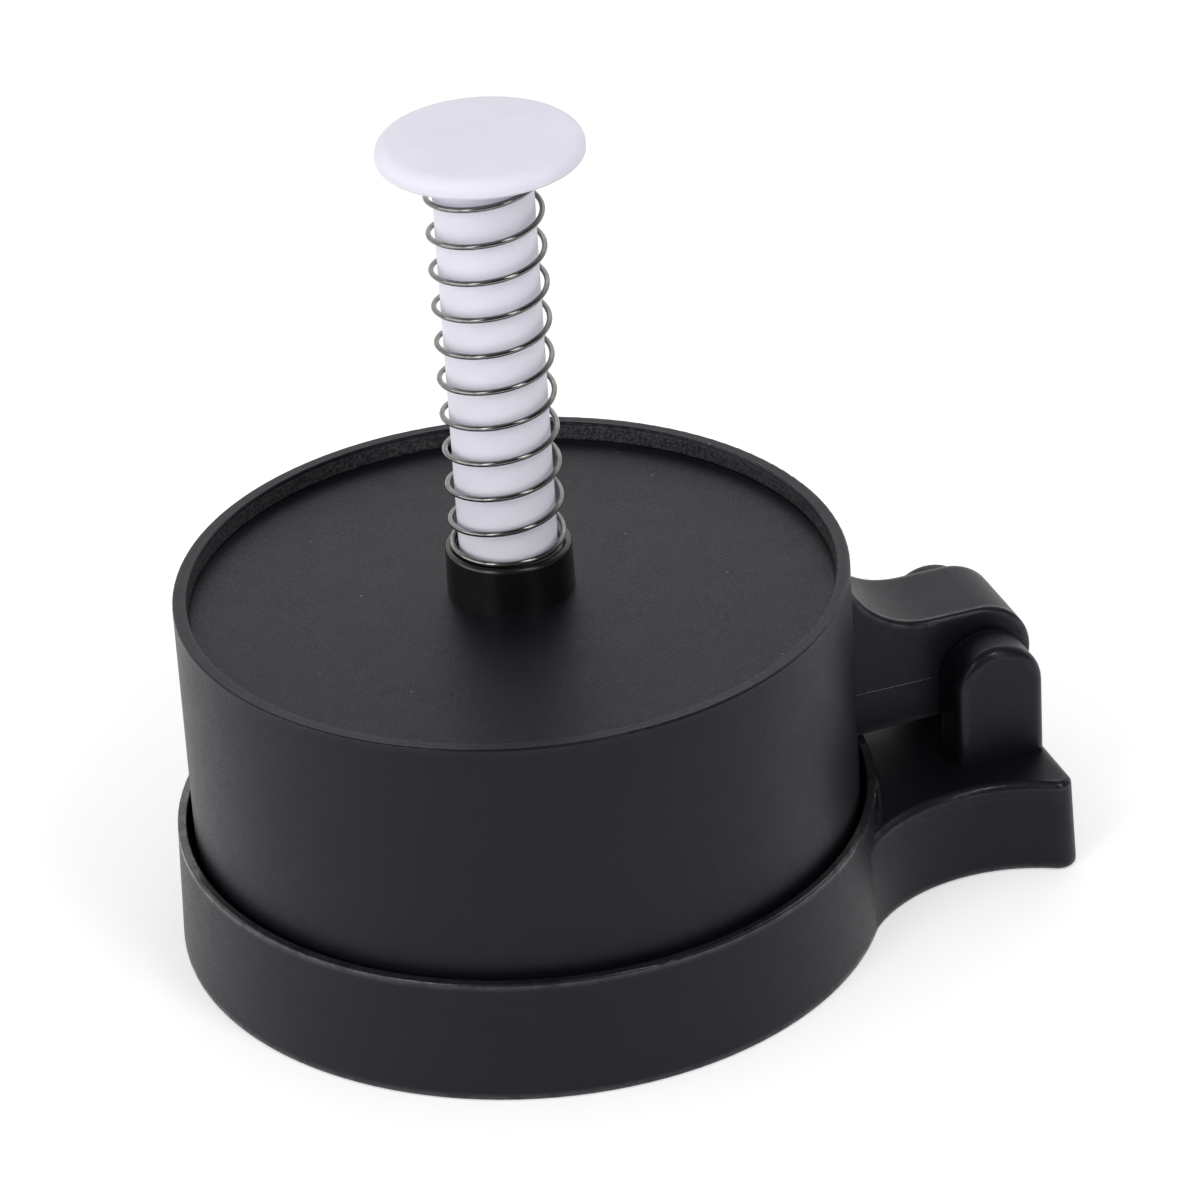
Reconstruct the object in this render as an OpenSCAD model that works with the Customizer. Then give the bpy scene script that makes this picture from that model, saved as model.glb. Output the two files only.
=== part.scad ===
// Hinged burger press: a tray with a drum that swings open on a pin, and a sprung plunger in the drum.
// The origin is on the table under the middle of the dish. +X points to the hinge, +Z is up.

/* [Patty chamber] */
// Diameter of the patty, which is the bore of the drum and of the dish
patty_d = 115; // [95:1:140]
// Depth of the dish below the ledge that the drum stands on
dish_depth = 9.5; // [6:0.5:14]
// Thickness of the tray floor
floor_t = 2.5; // [2:0.1:4]
// Radius between the dish floor and its wall
dish_fillet_r = 1.8; // [0.5:0.1:3]

/* [Tray ring] */
// Height of the ring that stands round the drum
ring_h = 23.3; // [20:0.1:26]
// Width of the ring's rim
ring_wall = 1.8; // [1.4:0.1:3]
// How much wider the ring is at its foot than at its rim, on the radius
ring_draft = 0.95; // [0.2:0.05:2]
// Gap between the ring and the drum
ring_gap = 1.1; // [0.9:0.1:2]
// Radius of the ring's edges
ring_edge_r = 0.45; // [0.1:0.05:0.6]
// Wall between the tray's cored pockets
tray_wall = 2.2; // [1.6:0.1:2.6]

/* [Hinge platform] */
// Height of the platform behind the ring
platform_h = 18; // [14:0.5:20]
// Thickness of the platform's top skin
platform_t = 2.6; // [2:0.1:4]
// Width of the platform at its waist
waist_w = 53; // [46:1:60]
// Radius of the hollow curve on each side of the waist
waist_r = 30; // [24:1:40]
// Reach of the platform beyond the hinge pin
tail_reach = 9.7; // [9.4:0.1:14]
// Radius of the platform's rear corners
tail_corner_r = 3.4; // [2.8:0.1:4]
// Radius of the platform's upper edge
platform_edge_r = 1.3; // [0.3:0.1:1.5]
// Radius of the platform's lower edge
platform_foot_r = 0.8; // [0.6:0.1:1.2]

/* [Hinge] */
// Distance from the ring's foot to the hinge pin
hinge_reach = 21.6; // [20:0.1:28]
// Height of the hinge pin above the table
hinge_h = 32.4; // [31:0.1:40]
// Diameter of the hinge pin
pin_d = 5; // [4:0.5:6]
// Width of a hinge lug
lug_w = 17; // [14:0.2:18.4]
// Thickness of a hinge lug
lug_t = 8.6; // [7:0.2:10]
// Radius of a lug's outer edge
lug_edge_r = 1.8; // [0.5:0.1:3]
// Wall that closes the front lug's blind pin hole
pin_cover = 2.4; // [1.5:0.1:3]
// How far the pin sits below the rear lug's face
pin_sink = 0.6; // [0:0.1:2]
// Chamfer of the pin's ends
pin_chamfer = 0.5; // [0.2:0.1:1]

/* [Drum arm] */
// Width of the drum's hinge arm
arm_w = 18; // [14:0.5:24]
// Diameter of the arm's knuckle round the pin
knuckle_d = 19.6; // [18:0.2:21]
// Height of the knuckle's middle above the pin
knuckle_rise = 2.6; // [0:0.1:3]
// Radius of the arm's sweep up the drum wall
sweep_r = 17.2; // [12:0.2:20]
// How far the sweep's curve runs into the drum wall
sweep_bite = 0.7; // [0.4:0.1:1]
// Gap between the arm and the top of the ring
arm_lift = 0.9; // [0.6:0.1:1.5]
// How far inside the drum wall the arm starts, from the bore
arm_root = 0.75; // [0.5:0.05:1]
// Radius of the arm's long edges and of the lugs' inner edges
arm_edge_r = 0.8; // [0.2:0.1:1.2]
// Wall round the arm's cored pocket
arm_wall = 2.6; // [2:0.1:3.5]

/* [Drum] */
// Height of the drum
drum_h = 56; // [50:0.5:70]
// Wall of the drum at its rim
drum_wall = 2.5; // [2:0.1:3.5]
// How much wider the drum is at its mouth than at its rim, on the radius
drum_draft = 0.3; // [0:0.05:0.6]
// How far the drum's lower edge is drawn in, so that it swings clear of the ring
mouth_lead = 1; // [0.8:0.1:1.4]
// Height of that drawn-in edge
mouth_lead_h = 4.4; // [3:0.1:6]
// Depth of the deck below the drum's rim
deck_recess = 3.4; // [2:0.1:8]
// Thickness of the deck
deck_t = 2.5; // [2:0.1:4]
// Radius of the rim's edges
rim_edge_r = 0.4; // [0.1:0.05:0.8]
// Radius under the deck, where it meets the drum wall
deck_fillet_r = 1.2; // [0.4:0.1:1.8]
// Width of the fine groove round the deck
deck_groove_w = 0.5; // [0.3:0.05:1]
// Depth of that groove
deck_groove_d = 0.4; // [0.2:0.05:1]
// Rise of the deck from its edge to the bush
deck_crown = 1.2; // [0:0.1:2]

/* [Guide bush] */
// Height of the bush above the deck
bush_h = 9.2; // [6:0.1:16]
// Margin of the bush's top face outside the spring
bush_margin = 0.36; // [0.3:0.02:1.5]
// How much wider the bush is at its foot, on the radius
bush_draft = 0.2; // [0:0.05:0.8]
// Wall of the bush's spigot through the deck
spigot_wall = 1.45; // [1.2:0.05:2]
// Overlap of the spigot's snap lip under the deck
snap_lip = 0.6; // [0.3:0.1:1]
// Height of the snap lip
snap_lip_h = 1.4; // [1:0.1:2]
// Radius of the bush's upper outer edge
bush_edge_r = 0.8; // [0.1:0.05:0.9]
// Radius of the bush's upper inner edge
bush_lead_r = 0.35; // [0.1:0.05:0.4]

/* [Plunger] */
// Diameter of the plunger rod
rod_d = 17.5; // [14:0.5:22]
// Wall of the hollow rod
rod_wall = 2.75; // [2:0.05:3.5]
// Height of the solid end of the rod, which holds the screw
rod_plug = 15; // [14:0.5:24]
// Height of the rod that shows between the bush and the knob
rod_show = 71.8; // [62:0.1:90]

/* [Knob] */
// Diameter of the palm knob
knob_d = 36; // [32:0.5:50]
// Rise of the knob's conical underside
knob_cone_h = 3; // [2:0.1:8]
// Height of the knob's side above the cone
knob_side_h = 3.2; // [3.2:0.1:8]
// Rise of the knob's domed top
knob_dome_h = 0.7; // [0.5:0.1:4]
// Radius of the knob's upper edge
knob_top_r = 2.3; // [0.5:0.1:2.4]
// Radius of the knob's lower edge
knob_low_r = 0.7; // [0.5:0.1:0.8]
// Length of the knob's spigot in the rod
knob_spigot = 14; // [8:1:20]

/* [Press disc] */
// Thickness of the disc's plate
plate_t = 3; // [2.5:0.1:4]
// Height of the disc's upturned rim
disc_rim_h = 8.5; // [5:0.5:9.5]
// Wall of the rim
disc_rim_t = 2.2; // [1.8:0.1:3]
// Wall of the hub round the rod
hub_wall = 3.2; // [2.4:0.1:4]
// Depth of the hub's socket for the rod
socket_depth = 4.5; // [3:0.1:6]
// Web between the socket and the screw's recess
hub_web = 2.2; // [1.8:0.1:3]
// Number of the disc's stiffening ribs
rib_count = 8; // [5:1:12]
// Thickness of a rib
rib_t = 1.8; // [1.4:0.1:2.4]
// Height of a rib above the plate
rib_h = 4; // [2:0.5:5]

/* [Return spring] */
// Diameter of the spring wire
wire_d = 1; // [0.8:0.05:1.4]
// Number of turns
spring_turns = 9.875; // [6:0.125:14]
// Direction of the first turn, in degrees from the hinge
spring_start = 10; // [0:5:355]
// Gap between the spring and the rod
spring_gap = 0.3; // [0.25:0.05:0.6]
// Radius of the bend at each end of the spring
spring_bend_r = 0.8; // [0.8:0.1:1.5]

/* [Screw] */
// Diameter of the disc's screw
screw_d = 3.8; // [3:0.1:4.5]
// Length of the screw below its head
screw_len = 14; // [10:0.5:15]
// Diameter of the screw's head
head_d = 7.6; // [6:0.1:8.5]
// Height of the screw's head
head_h = 2.4; // [1.8:0.1:3]
// Diameter of the washer
washer_d = 9.4; // [8.8:0.1:11]
// Thickness of the washer
washer_t = 0.8; // [0.5:0.1:1.2]
// Radius of the screw head's edge
head_edge_r = 1.6; // [0.5:0.1:1.7]
// Depth of the screw head's cross recess
drive_depth = 1.3; // [0.8:0.1:1.6]
// Length of the recess's arms
drive_len = 4.6; // [3:0.1:5.5]
// Width of the recess's arms
drive_w = 0.9; // [0.6:0.1:1.2]

/* [Clearances] */
// Gap under a part that rests on its seat
seat_gap = 0.3; // [0.2:0.05:0.5]
// Radial gap of a part that is pushed into its seat
fit_gap = 0.03; // [0.02:0.01:0.05]
// Radial gap of the hinge pin in the arm
pin_gap = 0.1; // [0.05:0.01:0.15]
// Radial gap of the rod in the bush
slide_gap = 0.2; // [0.15:0.05:0.3]
// Radial gap of the disc in the drum
disc_gap = 0.35; // [0.3:0.05:0.5]
// Gap on each side of the arm between the lugs
arm_gap = 0.4; // [0.3:0.05:0.8]
// Gap that is left under the disc when it is pressed down
press_gap = 0.5; // [0.3:0.1:3]
// Gap round the washer and below the screw's head
head_gap = 0.4; // [0.3:0.1:1]

/* [Hidden] */
$fn = 96;
past = 1; // overrun of a cut past the face that it opens
arc_ease = 1.005; // a round's arc is this much larger, so that it crosses its edges cleanly
dome_fn = 600; // sides of the knob's shallow dome

// Tray and drum radii, from the bore outwards
bore_r = patty_d / 2;
rim_r = bore_r + drum_wall;
mouth_r = rim_r + drum_draft;
ring_in_r = mouth_r + ring_gap;
ring_top_r = ring_in_r + ring_wall;
ring_foot_r = ring_top_r + ring_draft;

// Heights, from the table upwards
ledge_z = floor_t + dish_depth;
drum_z = ledge_z + seat_gap;
rim_z = drum_z + drum_h;
deck_z = rim_z - deck_recess;
deck_under_z = deck_z - deck_t;
bush_foot_z = deck_z + deck_crown;
bush_top_z = bush_foot_z + bush_h;
bush_low_z = deck_under_z - snap_lip_h;
knob_z = bush_top_z + rod_show;
groove_z = ledge_z - tray_wall;

// Platform outline: each side is an arc that runs out of the ring and meets the rear corner's round.
// Its walls lean as the ring's do
hinge_x = ring_foot_r + hinge_reach;
tail_x = hinge_x + tail_reach;
wall_lean = ring_draft / ring_h;
platform_lean = wall_lean * platform_h;
waist_merge = 0.2; // how far each arc runs into the ring
round_merge = 0.03; // how far a corner's round runs into the walls on both sides of it
round_limit = 0.8; // largest share of a corner's radius that the platform's upper edge takes
waist_y = waist_w / 2 + waist_r;
waist_x = sqrt(pow(ring_foot_r + waist_r - waist_merge, 2) - pow(waist_y, 2));
waist_top_r = waist_r + platform_lean;
corner_x = tail_x - tail_corner_r;
corner_y = waist_y - sqrt(pow(waist_r + tail_corner_r - round_merge, 2) - pow(corner_x - waist_x, 2));
corner_top_r = tail_corner_r - platform_lean;
platform_round_r = min(platform_edge_r, round_limit * corner_top_r);
platform_root_r = (ring_in_r + ring_top_r) / 2;
ring_r_at_platform = ring_foot_r - platform_lean;

// Hinge
pin_r = pin_d / 2;
lug_in = arm_w / 2 + arm_gap;
lug_out = lug_in + lug_t;
lug_r = lug_w / 2;
lug_drop = hinge_h - platform_h;
knuckle_r = knuckle_d / 2;
knuckle_z = hinge_h + knuckle_rise;
arm_top_z = knuckle_z + knuckle_r;
arm_low_z = ring_h + arm_lift;
arm_root_x = bore_r + arm_root;
sweep_x = rim_r + sweep_r - sweep_bite;
sweep_z = arm_top_z + sweep_r;

// Spring: the flats of its turns clear the rod, and its ends stand on the bush and meet the knob
rings_per_turn = 8;
wire_sides = 6;
wire_r = wire_d / 2;
rod_r = rod_d / 2;
coil_r = (rod_r + spring_gap + wire_r) / cos(180 / rings_per_turn);
end_rise = wire_d + spring_bend_r;
spring_top_z = knob_z - seat_gap;
coil_rise = spring_top_z - bush_top_z - 2 * end_rise;

// Bush, rod and knob
bush_bore_r = rod_r + slide_gap;
bush_top_r = coil_r + wire_r + bush_margin;
bush_foot_r = bush_top_r + bush_draft;
spigot_r = bush_bore_r + spigot_wall;
rod_bore_r = rod_r - rod_wall;
knob_r = knob_d / 2;
knob_neck_r = bush_top_r;
knob_dome_r = (knob_r * knob_r + knob_dome_h * knob_dome_h) / (2 * knob_dome_h);
knob_side_z = knob_z + knob_cone_h + knob_side_h;

// Press disc: its hub stops under the bush, and the screw holds it to the rod
disc_r = bore_r - disc_gap;
hub_top_z = bush_low_z - seat_gap;
rod_z = hub_top_z - socket_depth;
web_z = rod_z - hub_web;
head_z = web_z - washer_t;
disc_z = head_z - head_h - head_gap;
socket_r = rod_r + fit_gap;
hub_r = socket_r + hub_wall;
screw_r = screw_d / 2;
screw_hole_r = screw_r + fit_gap;
head_recess_r = washer_d / 2 + head_gap;
disc_edge_r = dish_fillet_r + disc_gap;
stroke = disc_z - floor_t - press_gap;
echo("stroke of the plunger, mm", stroke);

function unit(v) = v / norm(v);

// The thin corner between a tangent arc and two edges that meet at p and run to q and s
module corner_sliver(p, q, s, r) {
    a = unit(q - p);
    b = unit(s - p);
    half_angle = acos(a * b) / 2;
    reach = r / tan(half_angle);
    centre = p + unit(a + b) * r / sin(half_angle);
    difference() {
        polygon([p + a * reach, centre, p + b * reach, p + (p - centre) / 2]);
        translate(centre) circle(r * arc_ease);
    }
}

// A rectangle between two radii and two heights, for a turned section
module band(r0, r1, z0, z1) {
    translate([r0, z0]) square([r1 - r0, z1 - z0]);
}

// Turns its children so that their axis lies along the hinge pin, with angles counted from +X to +Z
module along_pin(x, z) {
    translate([x, 0, z]) rotate([90, 0, 0]) children();
}

// An outline in X and Z, given a width across the middle plane
module across(w) {
    rotate([90, 0, 0]) linear_extrude(w, center = true) children();
}

// Base tray
module tray_section() {
    foot = [ring_foot_r, 0];
    rim_out = [ring_top_r, ring_h];
    rim_in = [ring_in_r, ring_h];
    ledge_out = [ring_in_r, ledge_z];
    ledge_in = [bore_r, ledge_z];
    dish_low = [bore_r, floor_t];
    groove_out_r = ring_foot_r - tray_wall;
    difference() {
        union() {
            polygon([[0, 0], foot, rim_out, rim_in, ledge_out, ledge_in, dish_low, [0, floor_t]]);
            corner_sliver(ledge_out, rim_in, ledge_in, ring_edge_r);
            corner_sliver(dish_low, ledge_in, [0, floor_t], dish_fillet_r);
        }
        corner_sliver(rim_out, foot, rim_in, ring_edge_r);
        corner_sliver(rim_in, rim_out, ledge_out, ring_edge_r);
        corner_sliver(foot, [0, 0], rim_out, ring_edge_r);
        polygon([
            [bore_r + tray_wall, -past],
            [groove_out_r, -past],
            [groove_out_r - wall_lean * groove_z, groove_z],
            [bore_r + tray_wall, groove_z],
        ]);
    }
}

module platform_middle() {
    polygon([
        [0, 0],
        [waist_x, -waist_y],
        [corner_x, -corner_y],
        [corner_x, corner_y],
        [waist_x, waist_y],
    ]);
}

// The platform's outline at the table, drawn in on all sides
module platform_core(inset) {
    difference() {
        union() {
            platform_middle();
            translate([corner_x, -corner_y]) square([tail_corner_r - inset, 2 * corner_y]);
            for (side = [-1, 1])
                translate([corner_x, side * corner_y]) circle(tail_corner_r - inset);
        }
        for (side = [-1, 1])
            translate([waist_x, side * waist_y]) circle(waist_r + inset);
    }
}

// The hollow beside the waist, with the round edges that it leaves on the platform
module waist_hollow() {
    foot = [waist_r, 0];
    top = [waist_top_r, platform_h];
    rotate_extrude() {
        polygon([
            [0, -past],
            [waist_r, -past],
            foot,
            top,
            [waist_top_r, platform_h + past],
            [0, platform_h + past],
        ]);
        corner_sliver(top, top + [past, 0], foot, platform_round_r);
        corner_sliver(foot, foot + [past, 0], top, platform_foot_r);
    }
}

module platform_corner() {
    foot = [tail_corner_r, 0];
    top = [corner_top_r, platform_h];
    rotate_extrude() difference() {
        polygon([[0, 0], foot, top, [0, platform_h]]);
        corner_sliver(top, [0, platform_h], foot, platform_round_r + round_merge);
        corner_sliver(foot, [0, 0], top, platform_foot_r + round_merge);
    }
}

module platform_tail() {
    start_x = corner_x - round_merge;
    foot = [tail_x - round_merge, 0];
    top = foot + [-platform_lean, platform_h];
    across(2 * corner_y) difference() {
        polygon([[start_x, 0], foot, top, [start_x, platform_h]]);
        corner_sliver(top, [start_x, platform_h], foot, platform_round_r);
        corner_sliver(foot, [start_x, 0], top, platform_foot_r);
    }
}

module platform() {
    blend_turn = atan2(waist_y, waist_x);
    difference() {
        linear_extrude(platform_h) platform_middle();
        translate([0, 0, -past]) cylinder(r = platform_root_r, h = platform_h + 2 * past);
        for (side = [-1, 1]) translate([waist_x, side * waist_y, 0]) waist_hollow();
    }
    platform_tail();
    for (side = [-1, 1]) translate([corner_x, side * corner_y, 0]) platform_corner();
    difference() {
        rotate([0, 0, -blend_turn]) rotate_extrude(angle = 2 * blend_turn) corner_sliver(
            [ring_r_at_platform, platform_h],
            [ring_top_r, ring_h],
            [ring_foot_r + past, platform_h],
            platform_round_r);
        for (side = [-1, 1])
            translate([waist_x, side * waist_y, 0])
                cylinder(r = waist_top_r + platform_round_r, h = 2 * ring_h);
    }
}

module lug_outline() {
    sunk = lug_drop + past;
    circle(lug_r);
    translate([-lug_r, -sunk]) square([lug_w, sunk]);
}

module lug_edge_cuts(face_y, mid_y, edge_r) {
    along_pin(hinge_x, hinge_h) rotate_extrude(angle = 180) corner_sliver(
        [lug_r, -face_y], [lug_r, -mid_y], [0, -face_y], edge_r);
    for (side = [-1, 1])
        translate([hinge_x, 0, platform_h - past]) linear_extrude(lug_drop + past) corner_sliver(
            [side * lug_r, face_y], [side * lug_r, mid_y], [0, face_y], edge_r);
}

module rear_lug() {
    difference() {
        translate([hinge_x, lug_out, hinge_h]) rotate([90, 0, 0]) linear_extrude(lug_t) lug_outline();
        lug_edge_cuts(lug_out, lug_in, lug_edge_r);
        lug_edge_cuts(lug_in, lug_out, arm_edge_r);
    }
}

module platform_pockets() {
    core_w = lug_w - 2 * tray_wall;
    core_t = lug_t - 2 * tray_wall;
    core_top_z = hinge_h - pin_r - arm_wall;
    translate([0, 0, -past]) linear_extrude(platform_h - platform_t + past) difference() {
        platform_core(tray_wall);
        circle(ring_foot_r);
        translate([0, -tray_wall / 2]) square([tail_x, tray_wall]);
        for (side = [-1, 1], edge = [lug_in, lug_out - tray_wall])
            translate([0, side * (edge + tray_wall / 2) - tray_wall / 2]) square([tail_x, tray_wall]);
    }
    for (side = [-1, 1])
        translate([hinge_x - core_w / 2, side * (lug_in + lug_t / 2) - core_t / 2, -past])
            cube([core_w, core_t, core_top_z + past]);
}

module base_tray() {
    color([0.16, 0.16, 0.17]) difference() {
        union() {
            rotate_extrude() tray_section();
            platform();
            rear_lug();
            mirror([0, 1, 0]) rear_lug();
        }
        platform_pockets();
        translate([hinge_x, lug_out + past, hinge_h]) rotate([90, 0, 0])
            cylinder(r = pin_r + fit_gap, h = 2 * lug_out + past - pin_cover);
    }
}

// Hinge pin, pushed in from the rear lug and covered by the front lug
module hinge_pin() {
    pin_len = 2 * lug_out - pin_cover - pin_sink - seat_gap;
    color([0.72, 0.73, 0.75]) translate([hinge_x, lug_out - pin_sink, hinge_h]) rotate([90, 0, 0])
        rotate_extrude() polygon([
            [0, 0],
            [pin_r - pin_chamfer, 0],
            [pin_r, pin_chamfer],
            [pin_r, pin_len - pin_chamfer],
            [pin_r - pin_chamfer, pin_len],
            [0, pin_len],
        ]);
}

// Drum
module drum_section() {
    hole_r = spigot_r + fit_gap;
    mouth_in = [bore_r, drum_z];
    mouth_out = [mouth_r - mouth_lead, drum_z];
    lead_top = [mouth_r, drum_z + mouth_lead_h];
    rim_out = [rim_r, rim_z];
    rim_in = [bore_r, rim_z];
    groove_out = [bore_r, deck_z - deck_groove_d];
    groove_in = [bore_r - deck_groove_w, deck_z - deck_groove_d];
    deck_out = [bore_r - deck_groove_w, deck_z];
    deck_seat = [bush_foot_r + past, bush_foot_z];
    deck_in = [hole_r, bush_foot_z];
    under_in = [hole_r, deck_under_z];
    under_out = [bore_r, deck_under_z];
    difference() {
        union() {
            polygon([
                mouth_in,
                mouth_out,
                lead_top,
                rim_out,
                rim_in,
                groove_out,
                groove_in,
                deck_out,
                deck_seat,
                deck_in,
                under_in,
                under_out,
            ]);
            corner_sliver(under_out, under_in, mouth_in, deck_fillet_r);
        }
        corner_sliver(rim_out, lead_top, rim_in, rim_edge_r);
        corner_sliver(rim_in, rim_out, groove_out, rim_edge_r);
    }
}

module arm_outline() {
    translate([hinge_x, knuckle_z]) circle(knuckle_r);
    difference() {
        polygon([
            [arm_root_x, arm_low_z],
            [hinge_x, knuckle_z - knuckle_r],
            [hinge_x, arm_top_z],
            [sweep_x, arm_top_z],
            [sweep_x, sweep_z],
            [arm_root_x, sweep_z],
        ]);
        translate([sweep_x, sweep_z]) circle(sweep_r);
    }
}

module arm_edge_cuts() {
    half_w = arm_w / 2;
    for (side = [-1, 1]) {
        along_pin(sweep_x, sweep_z) rotate([0, 0, 180]) rotate_extrude(angle = 90) corner_sliver(
            [sweep_r, side * half_w], [sweep_r + past, side * half_w], [sweep_r, 0], arm_edge_r);
        along_pin(hinge_x, knuckle_z) rotate([0, 0, -90]) rotate_extrude(angle = 180) corner_sliver(
            [knuckle_r, side * half_w], [0, side * half_w], [knuckle_r, 0], arm_edge_r);
        translate([sweep_x, 0, 0]) rotate([90, 0, 90]) linear_extrude(hinge_x - sweep_x) corner_sliver(
            [side * half_w, arm_top_z], [side * half_w, 0], [0, arm_top_z], arm_edge_r);
    }
}

module drum_arm() {
    core_x = mouth_r + arm_wall;
    core_len = hinge_x - pin_r - 2 * arm_wall - core_x;
    core_w = arm_w - 2 * arm_wall;
    difference() {
        across(arm_w) arm_outline();
        arm_edge_cuts();
        translate([core_x, -core_w / 2, 0]) cube([core_len, core_w, arm_top_z - arm_wall]);
        along_pin(hinge_x, hinge_h) cylinder(r = pin_r + pin_gap, h = arm_w + 2 * past, center = true);
    }
}

module press_drum() {
    color([0.17, 0.17, 0.18]) union() {
        rotate_extrude() drum_section();
        drum_arm();
    }
}

// Guide bush, snapped into the deck
module guide_bush() {
    foot = [bush_foot_r, bush_foot_z];
    top_out = [bush_top_r, bush_top_z];
    top_in = [bush_bore_r, bush_top_z];
    color([0.06, 0.06, 0.065]) rotate_extrude() difference() {
        union() {
            polygon([[bush_bore_r, bush_foot_z], foot, top_out, top_in]);
            band(bush_bore_r, spigot_r, bush_low_z, bush_foot_z + bush_h / 2);
            band(bush_bore_r, spigot_r + snap_lip, bush_low_z, deck_under_z - fit_gap);
        }
        corner_sliver(top_out, top_in, foot, bush_edge_r);
        corner_sliver(top_in, top_out, [bush_bore_r, bush_low_z], bush_lead_r);
    }
}

// Return spring: each station is a direction, a height and a slope of the wire
coil_rings = ceil(spring_turns * rings_per_turn);
coil_lead = atan(coil_rise / (spring_turns * 360 * coil_r * PI / 180));
bend_turn = spring_bend_r / coil_r * 180 / PI;
spring_stations = concat(
    [
        [spring_start - bend_turn, bush_top_z, 90],
        [spring_start - bend_turn, bush_top_z + wire_d, 90],
        for (a = [30, 60]) [
            spring_start - bend_turn * cos(a),
            bush_top_z + wire_d + spring_bend_r * sin(a),
            90 - a,
        ],
    ],
    [
        for (i = [0:coil_rings]) [
            spring_start + spring_turns * 360 * i / coil_rings,
            bush_top_z + end_rise + coil_rise * i / coil_rings,
            coil_lead,
        ],
    ],
    [
        for (a = [60, 30]) [
            spring_start + spring_turns * 360 + bend_turn * cos(a),
            spring_top_z - wire_d - spring_bend_r * sin(a),
            90 - a,
        ],
        [spring_start + spring_turns * 360 + bend_turn, spring_top_z - wire_d, 90],
        [spring_start + spring_turns * 360 + bend_turn, spring_top_z, 90],
    ]
);
function wire_centre(s) = [coil_r * cos(s[0]), coil_r * sin(s[0]), s[1]];
function wire_ring(s) = [
    for (k = [0:wire_sides - 1])
        let (
            outward = [cos(s[0]), sin(s[0]), 0],
            sideways = [-sin(s[0]) * sin(s[2]), cos(s[0]) * sin(s[2]), -cos(s[2])],
            a = 360 * k / wire_sides
        ) wire_centre(s) + wire_r * (cos(a) * outward + sin(a) * sideways)
];
spring_self_gap = min([
    for (i = [0:len(spring_stations) - 1], j = [i + rings_per_turn / 2:1:len(spring_stations) - 1])
        norm(wire_centre(spring_stations[i]) - wire_centre(spring_stations[j])) - wire_d
]);
echo("least gap of the spring to itself, mm", spring_self_gap);

module return_spring() {
    last = (len(spring_stations) - 1) * wire_sides;
    points = [for (s = spring_stations) each wire_ring(s)];
    start_cap = [for (k = [1:wire_sides - 2]) [0, k, k + 1]];
    end_cap = [for (k = [1:wire_sides - 2]) [last, last + k + 1, last + k]];
    skin = [
        for (i = [0:len(spring_stations) - 2], k = [0:wire_sides - 1])
            let (
                a = i * wire_sides + k,
                b = i * wire_sides + (k + 1) % wire_sides
            ) each [[a, a + wire_sides, b], [b, a + wire_sides, b + wire_sides]]
    ];
    color([0.55, 0.55, 0.56]) polyhedron(points, concat(start_cap, skin, end_cap));
}

// Plunger rod, closed at its lower end
module plunger_rod() {
    pilot_z = head_z + screw_len + seat_gap;
    color([0.9, 0.89, 0.95]) rotate_extrude() difference() {
        band(0, rod_r, rod_z, knob_z);
        band(0, rod_bore_r, rod_z + rod_plug, knob_z + past);
        band(0, screw_hole_r, rod_z - past, pilot_z);
    }
}

// Palm knob, pushed into the rod
module palm_knob() {
    spigot_low = [rod_bore_r - fit_gap, knob_z - knob_spigot];
    neck = [knob_neck_r, knob_z];
    side_low = [knob_r, knob_z + knob_cone_h];
    side_top = [knob_r, knob_side_z];
    dome_in = [knob_r - past, knob_side_z + past * knob_r / knob_dome_r];
    color([0.91, 0.9, 0.95]) rotate_extrude() difference() {
        intersection() {
            polygon([
                [0, spigot_low[1]],
                spigot_low,
                [spigot_low[0], knob_z],
                neck,
                side_low,
                [knob_r, knob_side_z + knob_dome_h],
                [0, knob_side_z + knob_dome_h],
            ]);
            translate([0, knob_side_z + knob_dome_h - knob_dome_r]) circle(knob_dome_r, $fn = dome_fn);
        }
        corner_sliver(side_top, side_low, dome_in, knob_top_r);
        corner_sliver(side_low, neck, side_top, knob_low_r);
    }
}

// Press disc with an upturned rim, ribs and a hub
module disc_section() {
    low_edge = [disc_r, disc_z];
    rim_top = disc_z + disc_rim_h;
    difference() {
        union() {
            band(0, disc_r, disc_z, disc_z + plate_t);
            band(disc_r - disc_rim_t, disc_r, disc_z, rim_top);
            band(0, hub_r, disc_z, hub_top_z);
        }
        band(0, socket_r, rod_z, hub_top_z + past);
        band(0, screw_hole_r, disc_z, hub_top_z);
        band(0, head_recess_r, disc_z - past, web_z);
        corner_sliver(low_edge, [0, disc_z], [disc_r, rim_top], disc_edge_r);
    }
}

module press_disc() {
    sunk = disc_rim_t / 2;
    color([0.88, 0.88, 0.9]) union() {
        rotate_extrude() disc_section();
        for (i = [0:rib_count - 1])
            rotate([0, 0, 360 * (i + 0.5) / rib_count])
                translate([hub_r - sunk, -rib_t / 2, disc_z + plate_t - sunk])
                    cube([disc_r - disc_rim_t + 2 * sunk - hub_r, rib_t, rib_h + sunk]);
    }
}

// Screw and washer that hold the disc to the rod
module disc_washer() {
    color([0.74, 0.75, 0.77]) rotate_extrude() band(screw_hole_r, washer_d / 2, head_z, web_z);
}

module disc_screw() {
    head_r = head_d / 2;
    head_low = [head_r, head_z - head_h];
    color([0.7, 0.71, 0.73]) difference() {
        rotate_extrude() difference() {
            union() {
                band(0, head_r, head_z - head_h, head_z);
                band(0, screw_r, head_z - past, head_z + screw_len);
            }
            corner_sliver(head_low, [0, head_low[1]], [head_r, head_z], head_edge_r);
        }
        for (turn = [0, 90])
            rotate([0, 0, turn]) translate([-drive_len / 2, -drive_w / 2, head_low[1] - past])
                cube([drive_len, drive_w, drive_depth + past]);
    }
}

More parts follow.
